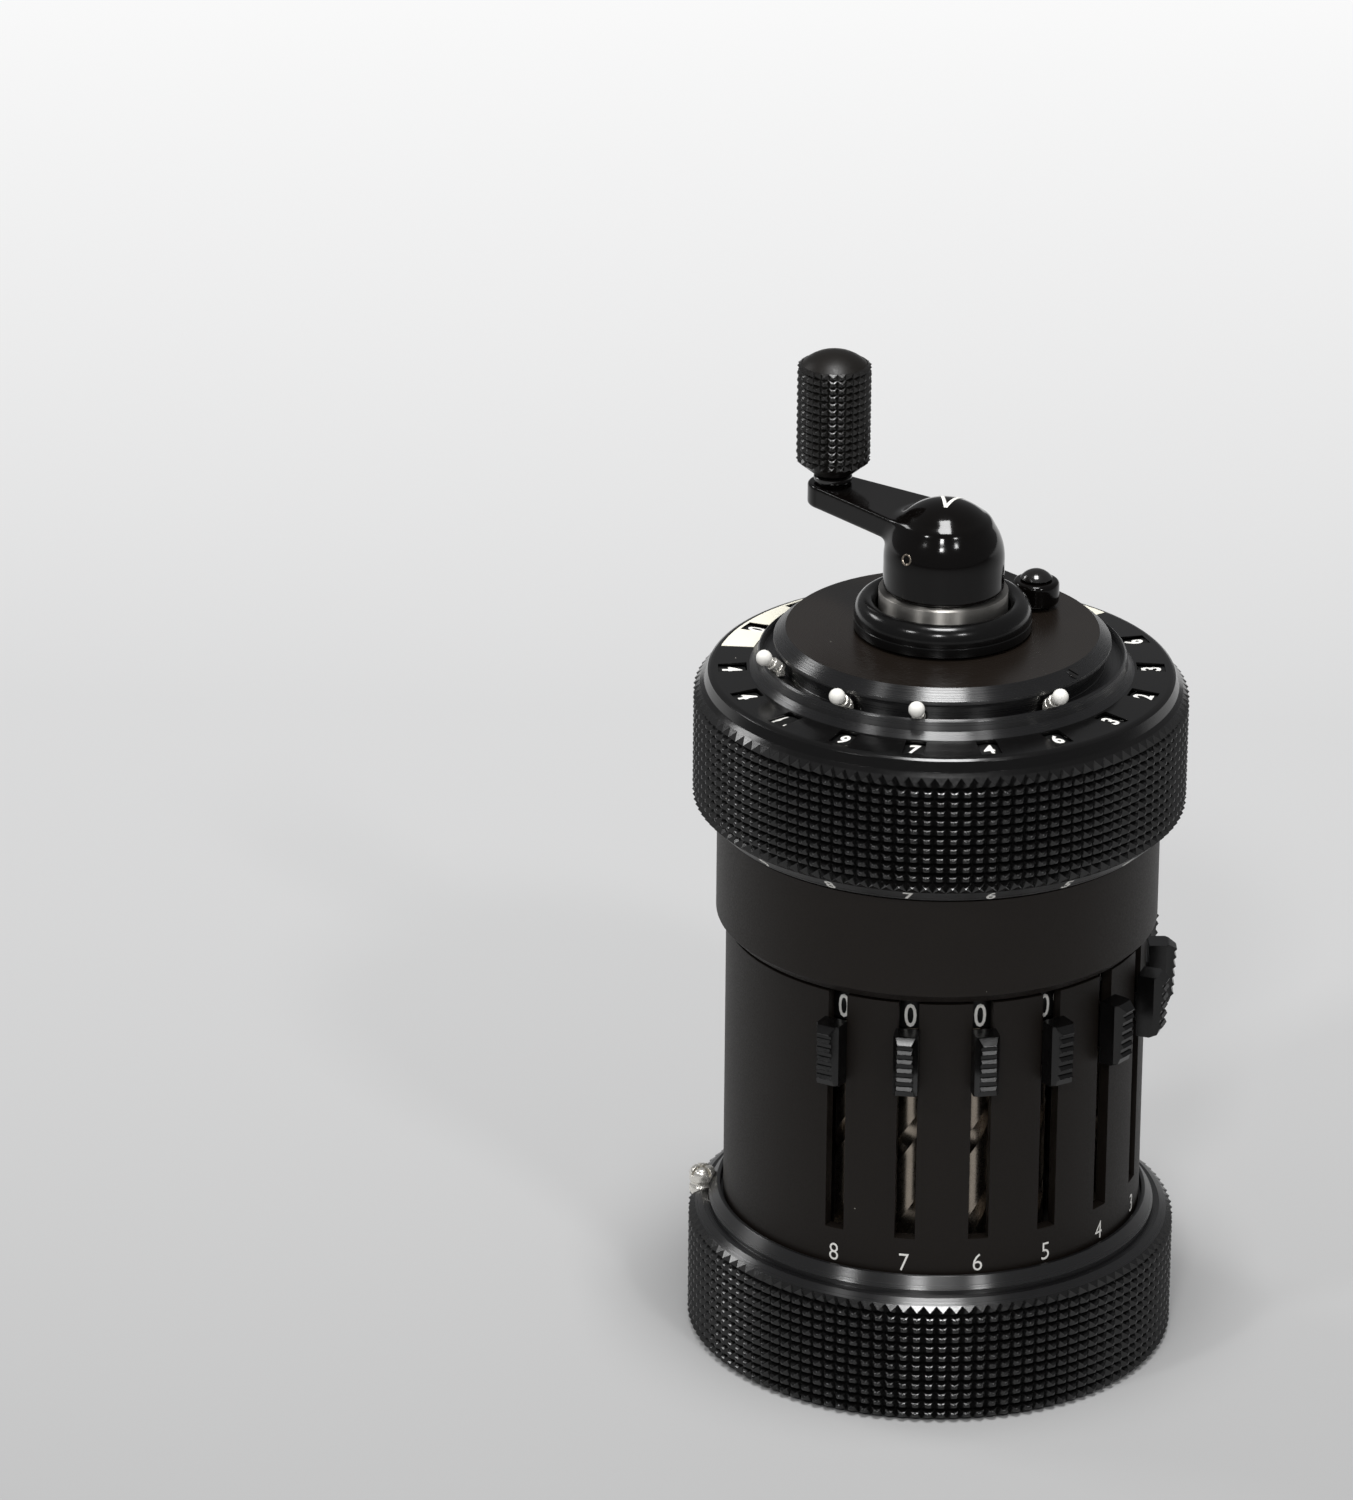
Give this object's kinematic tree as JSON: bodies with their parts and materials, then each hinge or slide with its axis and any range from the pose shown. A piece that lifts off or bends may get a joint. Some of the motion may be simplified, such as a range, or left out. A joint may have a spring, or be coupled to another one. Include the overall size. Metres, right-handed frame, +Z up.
{
  "type": "mechanical pocket calculator",
  "caption": "Drum-shaped hand-cranked calculator with knurled rings, slotted case and setting sliders, a lifting and turning carriage with dial windows, and a fold-out clearing ring.",
  "frame": {"origin": "centre of the base, on the surface it stands on", "axes": "+Z up along the main axis, -Y towards the middle of the slider rows, +X to the right"},
  "size_m": [0.053, 0.053, 0.1086],
  "materials": {
    "black_ring": "satin black anodised, turned",
    "case_black": "matte black anodised",
    "collar_black": "satin black anodised, turned",
    "matte_black": "matte black",
    "hub_black": "satin black anodised",
    "warm_grey_black": "satin dark warm grey",
    "gloss_black": "gloss black lacquer",
    "grip_black": "knurled black anodised",
    "knob_black": "satin black",
    "lever_black": "black lacquer",
    "screw_black": "gloss black",
    "bright_steel": "bright turned steel",
    "shaft_steel": "machined steel",
    "plate_steel": "machined steel",
    "dial_black": "matte black with white digits",
    "dial_ivory": "matte ivory with black digits",
    "marker_white": "white ball on a steel pin"
  },
  "bodies": {
    "housing": {"base_ring": "black_ring", "base_plate": "matte_black", "slotted_sleeve": "case_black", "upper_collar": "collar_black", "lower_bearing_plate": "plate_steel", "upper_bearing_plate": "plate_steel", "top_bearing_plate": "plate_steel", "case_lock_stud": "bright_steel"},
    "setting_slider_1": {"setting_slider_1": "knob_black"},
    "setting_shaft_1": {"setting_shaft_1": "shaft_steel"},
    "setting_slider_2": {"setting_slider_2": "knob_black"},
    "setting_shaft_2": {"setting_shaft_2": "shaft_steel"},
    "setting_slider_3": {"setting_slider_3": "knob_black"},
    "setting_shaft_3": {"setting_shaft_3": "shaft_steel"},
    "setting_slider_4": {"setting_slider_4": "knob_black"},
    "setting_shaft_4": {"setting_shaft_4": "shaft_steel"},
    "setting_slider_5": {"setting_slider_5": "knob_black"},
    "setting_shaft_5": {"setting_shaft_5": "shaft_steel"},
    "setting_slider_6": {"setting_slider_6": "knob_black"},
    "setting_shaft_6": {"setting_shaft_6": "shaft_steel"},
    "setting_slider_7": {"setting_slider_7": "knob_black"},
    "setting_shaft_7": {"setting_shaft_7": "shaft_steel"},
    "setting_slider_8": {"setting_slider_8": "knob_black"},
    "setting_shaft_8": {"setting_shaft_8": "shaft_steel"},
    "reversing_lever": {"reversing_lever": "knob_black"},
    "crank_lift": {"lift_sleeve": "bright_steel"},
    "crank": {"crank": "gloss_black", "main_shaft": "shaft_steel", "step_drum": "shaft_steel", "handle_pin": "bright_steel"},
    "handle": {"handle_knob": "grip_black"},
    "carriage_lift": {"carriage_column": "hub_black"},
    "carriage": {"carriage_ring": "black_ring"},
    "result_dial_1": {"result_dial_1": "dial_black"},
    "result_dial_2": {"result_dial_2": "dial_black"},
    "result_dial_3": {"result_dial_3": "dial_black"},
    "result_dial_4": {"result_dial_4": "dial_black"},
    "result_dial_5": {"result_dial_5": "dial_black"},
    "result_dial_6": {"result_dial_6": "dial_black"},
    "result_dial_7": {"result_dial_7": "dial_black"},
    "result_dial_8": {"result_dial_8": "dial_black"},
    "result_dial_9": {"result_dial_9": "dial_black"},
    "result_dial_10": {"result_dial_10": "dial_black"},
    "result_dial_11": {"result_dial_11": "dial_black"},
    "counter_dial_1": {"counter_dial_1": "dial_ivory"},
    "counter_dial_2": {"counter_dial_2": "dial_ivory"},
    "counter_dial_3": {"counter_dial_3": "dial_ivory"},
    "counter_dial_4": {"counter_dial_4": "dial_ivory"},
    "counter_dial_5": {"counter_dial_5": "dial_ivory"},
    "counter_dial_6": {"counter_dial_6": "dial_ivory"},
    "decimal_marker_1": {"decimal_marker_1": "marker_white"},
    "decimal_marker_2": {"decimal_marker_2": "marker_white"},
    "decimal_marker_3": {"decimal_marker_3": "marker_white"},
    "decimal_marker_4": {"decimal_marker_4": "marker_white"},
    "clearing": {"clearing_plate": "warm_grey_black", "lever_screw": "screw_black"},
    "clearing_lever": {"clearing_lever": "lever_black"}
  },
  "joints": [
    {"name": "setting_slider_1_slide", "type": "slide", "parent": "housing", "child": "setting_slider_1", "axis": [0, 0, -1], "range_m": [0, 0.018]},
    {"name": "setting_shaft_1_turn", "type": "hinge", "parent": "housing", "child": "setting_shaft_1", "pos_m": [0.0171, -0.00622, 0.041], "axis": [0, 0, 1], "range_deg": [-4, 330]},
    {"name": "setting_slider_2_slide", "type": "slide", "parent": "housing", "child": "setting_slider_2", "axis": [0, 0, -1], "range_m": [0, 0.018]},
    {"name": "setting_shaft_2_turn", "type": "hinge", "parent": "housing", "child": "setting_shaft_2", "pos_m": [0.01394, -0.0117, 0.041], "axis": [0, 0, 1], "range_deg": [-4, 330]},
    {"name": "setting_slider_3_slide", "type": "slide", "parent": "housing", "child": "setting_slider_3", "axis": [0, 0, -1], "range_m": [0, 0.018]},
    {"name": "setting_shaft_3_turn", "type": "hinge", "parent": "housing", "child": "setting_shaft_3", "pos_m": [0.0091, -0.01576, 0.041], "axis": [0, 0, 1], "range_deg": [-4, 330]},
    {"name": "setting_slider_4_slide", "type": "slide", "parent": "housing", "child": "setting_slider_4", "axis": [0, 0, -1], "range_m": [0, 0.018]},
    {"name": "setting_shaft_4_turn", "type": "hinge", "parent": "housing", "child": "setting_shaft_4", "pos_m": [0.00316, -0.01792, 0.041], "axis": [0, 0, 1], "range_deg": [-4, 330]},
    {"name": "setting_slider_5_slide", "type": "slide", "parent": "housing", "child": "setting_slider_5", "axis": [0, 0, -1], "range_m": [0, 0.018]},
    {"name": "setting_shaft_5_turn", "type": "hinge", "parent": "housing", "child": "setting_shaft_5", "pos_m": [-0.00316, -0.01792, 0.041], "axis": [0, 0, 1], "range_deg": [-4, 330]},
    {"name": "setting_slider_6_slide", "type": "slide", "parent": "housing", "child": "setting_slider_6", "axis": [0, 0, -1], "range_m": [0, 0.018]},
    {"name": "setting_shaft_6_turn", "type": "hinge", "parent": "housing", "child": "setting_shaft_6", "pos_m": [-0.0091, -0.01576, 0.041], "axis": [0, 0, 1], "range_deg": [-4, 330]},
    {"name": "setting_slider_7_slide", "type": "slide", "parent": "housing", "child": "setting_slider_7", "axis": [0, 0, -1], "range_m": [0, 0.018]},
    {"name": "setting_shaft_7_turn", "type": "hinge", "parent": "housing", "child": "setting_shaft_7", "pos_m": [-0.01394, -0.0117, 0.041], "axis": [0, 0, 1], "range_deg": [-4, 330]},
    {"name": "setting_slider_8_slide", "type": "slide", "parent": "housing", "child": "setting_slider_8", "axis": [0, 0, -1], "range_m": [0, 0.018]},
    {"name": "setting_shaft_8_turn", "type": "hinge", "parent": "housing", "child": "setting_shaft_8", "pos_m": [-0.0171, -0.00622, 0.041], "axis": [0, 0, 1], "range_deg": [-4, 330]},
    {"name": "reversing_lever_slide", "type": "slide", "parent": "housing", "child": "reversing_lever", "axis": [0, 0, -1], "range_m": [0, 0.006]},
    {"name": "crank_lift_slide", "type": "slide", "parent": "housing", "child": "crank_lift", "axis": [0, 0, 1], "range_m": [0, 0.005]},
    {"name": "crank_turn", "type": "hinge", "parent": "crank_lift", "child": "crank", "pos_m": [0, 0, 0.0892], "axis": [0, 0, 1], "continuous": true},
    {"name": "handle_turn", "type": "hinge", "parent": "crank", "child": "handle", "pos_m": [-0.00162, 0.01592, 0.1], "axis": [0, 0, 1], "continuous": true},
    {"name": "carriage_lift_slide", "type": "slide", "parent": "housing", "child": "carriage_lift", "axis": [0, 0, 1], "range_m": [0, 0.0045], "stiffness_N_per_m": 300, "springref_m": -0.005},
    {"name": "carriage_turn", "type": "hinge", "parent": "carriage_lift", "child": "carriage", "pos_m": [0, 0, 0.07], "axis": [0, 0, 1], "range_deg": [0, 100]},
    {"name": "result_dial_1_turn", "type": "hinge", "parent": "carriage", "child": "result_dial_1", "pos_m": [0.02077, -0.00756, 0.073], "axis": [0.9397, -0.342, 0], "continuous": true},
    {"name": "result_dial_2_turn", "type": "hinge", "parent": "carriage", "child": "result_dial_2", "pos_m": [0.01693, -0.01421, 0.073], "axis": [0.766, -0.6428, 0], "continuous": true},
    {"name": "result_dial_3_turn", "type": "hinge", "parent": "carriage", "child": "result_dial_3", "pos_m": [0.01105, -0.01914, 0.073], "axis": [0.5, -0.866, 0], "continuous": true},
    {"name": "result_dial_4_turn", "type": "hinge", "parent": "carriage", "child": "result_dial_4", "pos_m": [0.00384, -0.02176, 0.073], "axis": [0.1736, -0.9848, 0], "continuous": true},
    {"name": "result_dial_5_turn", "type": "hinge", "parent": "carriage", "child": "result_dial_5", "pos_m": [-0.00384, -0.02176, 0.073], "axis": [-0.1736, -0.9848, 0], "continuous": true},
    {"name": "result_dial_6_turn", "type": "hinge", "parent": "carriage", "child": "result_dial_6", "pos_m": [-0.01105, -0.01914, 0.073], "axis": [-0.5, -0.866, 0], "continuous": true},
    {"name": "result_dial_7_turn", "type": "hinge", "parent": "carriage", "child": "result_dial_7", "pos_m": [-0.01693, -0.01421, 0.073], "axis": [-0.766, -0.6428, 0], "continuous": true},
    {"name": "result_dial_8_turn", "type": "hinge", "parent": "carriage", "child": "result_dial_8", "pos_m": [-0.02077, -0.00756, 0.073], "axis": [-0.9397, -0.342, 0], "continuous": true},
    {"name": "result_dial_9_turn", "type": "hinge", "parent": "carriage", "child": "result_dial_9", "pos_m": [-0.0221, 0, 0.073], "axis": [-1, 0, 0], "continuous": true},
    {"name": "result_dial_10_turn", "type": "hinge", "parent": "carriage", "child": "result_dial_10", "pos_m": [-0.02077, 0.00756, 0.073], "axis": [-0.9397, 0.342, 0], "continuous": true},
    {"name": "result_dial_11_turn", "type": "hinge", "parent": "carriage", "child": "result_dial_11", "pos_m": [-0.01693, 0.01421, 0.073], "axis": [-0.766, 0.6428, 0], "continuous": true},
    {"name": "counter_dial_1_turn", "type": "hinge", "parent": "carriage", "child": "counter_dial_1", "pos_m": [-0.00756, 0.02077, 0.073], "axis": [-0.342, 0.9397, 0], "continuous": true},
    {"name": "counter_dial_2_turn", "type": "hinge", "parent": "carriage", "child": "counter_dial_2", "pos_m": [0, 0.0221, 0.073], "axis": [0, 1, 0], "continuous": true},
    {"name": "counter_dial_3_turn", "type": "hinge", "parent": "carriage", "child": "counter_dial_3", "pos_m": [0.00756, 0.02077, 0.073], "axis": [0.342, 0.9397, 0], "continuous": true},
    {"name": "counter_dial_4_turn", "type": "hinge", "parent": "carriage", "child": "counter_dial_4", "pos_m": [0.01421, 0.01693, 0.073], "axis": [0.6428, 0.766, 0], "continuous": true},
    {"name": "counter_dial_5_turn", "type": "hinge", "parent": "carriage", "child": "counter_dial_5", "pos_m": [0.01914, 0.01105, 0.073], "axis": [0.866, 0.5, 0], "continuous": true},
    {"name": "counter_dial_6_turn", "type": "hinge", "parent": "carriage", "child": "counter_dial_6", "pos_m": [0.02176, 0.00384, 0.073], "axis": [0.9848, 0.1736, 0], "continuous": true},
    {"name": "decimal_marker_1_move", "type": "hinge", "parent": "carriage", "child": "decimal_marker_1", "pos_m": [0, 0, 0.0786], "axis": [0, 0, 1], "range_deg": [-70, 15]},
    {"name": "decimal_marker_2_move", "type": "hinge", "parent": "carriage", "child": "decimal_marker_2", "pos_m": [0, 0, 0.0786], "axis": [0, 0, 1], "range_deg": [-14, 8]},
    {"name": "decimal_marker_3_move", "type": "hinge", "parent": "carriage", "child": "decimal_marker_3", "pos_m": [0, 0, 0.0786], "axis": [0, 0, 1], "range_deg": [-9, 18]},
    {"name": "decimal_marker_4_move", "type": "hinge", "parent": "carriage", "child": "decimal_marker_4", "pos_m": [0, 0, 0.0786], "axis": [0, 0, 1], "range_deg": [-20, 80]},
    {"name": "clearing_turn", "type": "hinge", "parent": "carriage", "child": "clearing", "pos_m": [0, 0, 0.0805], "axis": [0, 0, -1], "continuous": true},
    {"name": "clearing_lever_fold", "type": "hinge", "parent": "clearing", "child": "clearing_lever", "pos_m": [0.01207, -0.00161, 0.083], "axis": [0, 0, -1], "range_deg": [0, 100]}
  ],
  "couplings": [
    {"joint": "setting_shaft_1_turn", "follows": "setting_slider_1_slide", "rad_per_m": 314.16},
    {"joint": "setting_shaft_2_turn", "follows": "setting_slider_2_slide", "rad_per_m": 314.16},
    {"joint": "setting_shaft_3_turn", "follows": "setting_slider_3_slide", "rad_per_m": 314.16},
    {"joint": "setting_shaft_4_turn", "follows": "setting_slider_4_slide", "rad_per_m": 314.16},
    {"joint": "setting_shaft_5_turn", "follows": "setting_slider_5_slide", "rad_per_m": 314.16},
    {"joint": "setting_shaft_6_turn", "follows": "setting_slider_6_slide", "rad_per_m": 314.16},
    {"joint": "setting_shaft_7_turn", "follows": "setting_slider_7_slide", "rad_per_m": 314.16},
    {"joint": "setting_shaft_8_turn", "follows": "setting_slider_8_slide", "rad_per_m": 314.16},
    {"joint": "counter_dial_1_turn", "follows": "crank_turn", "ratio": 0.1}
  ]
}
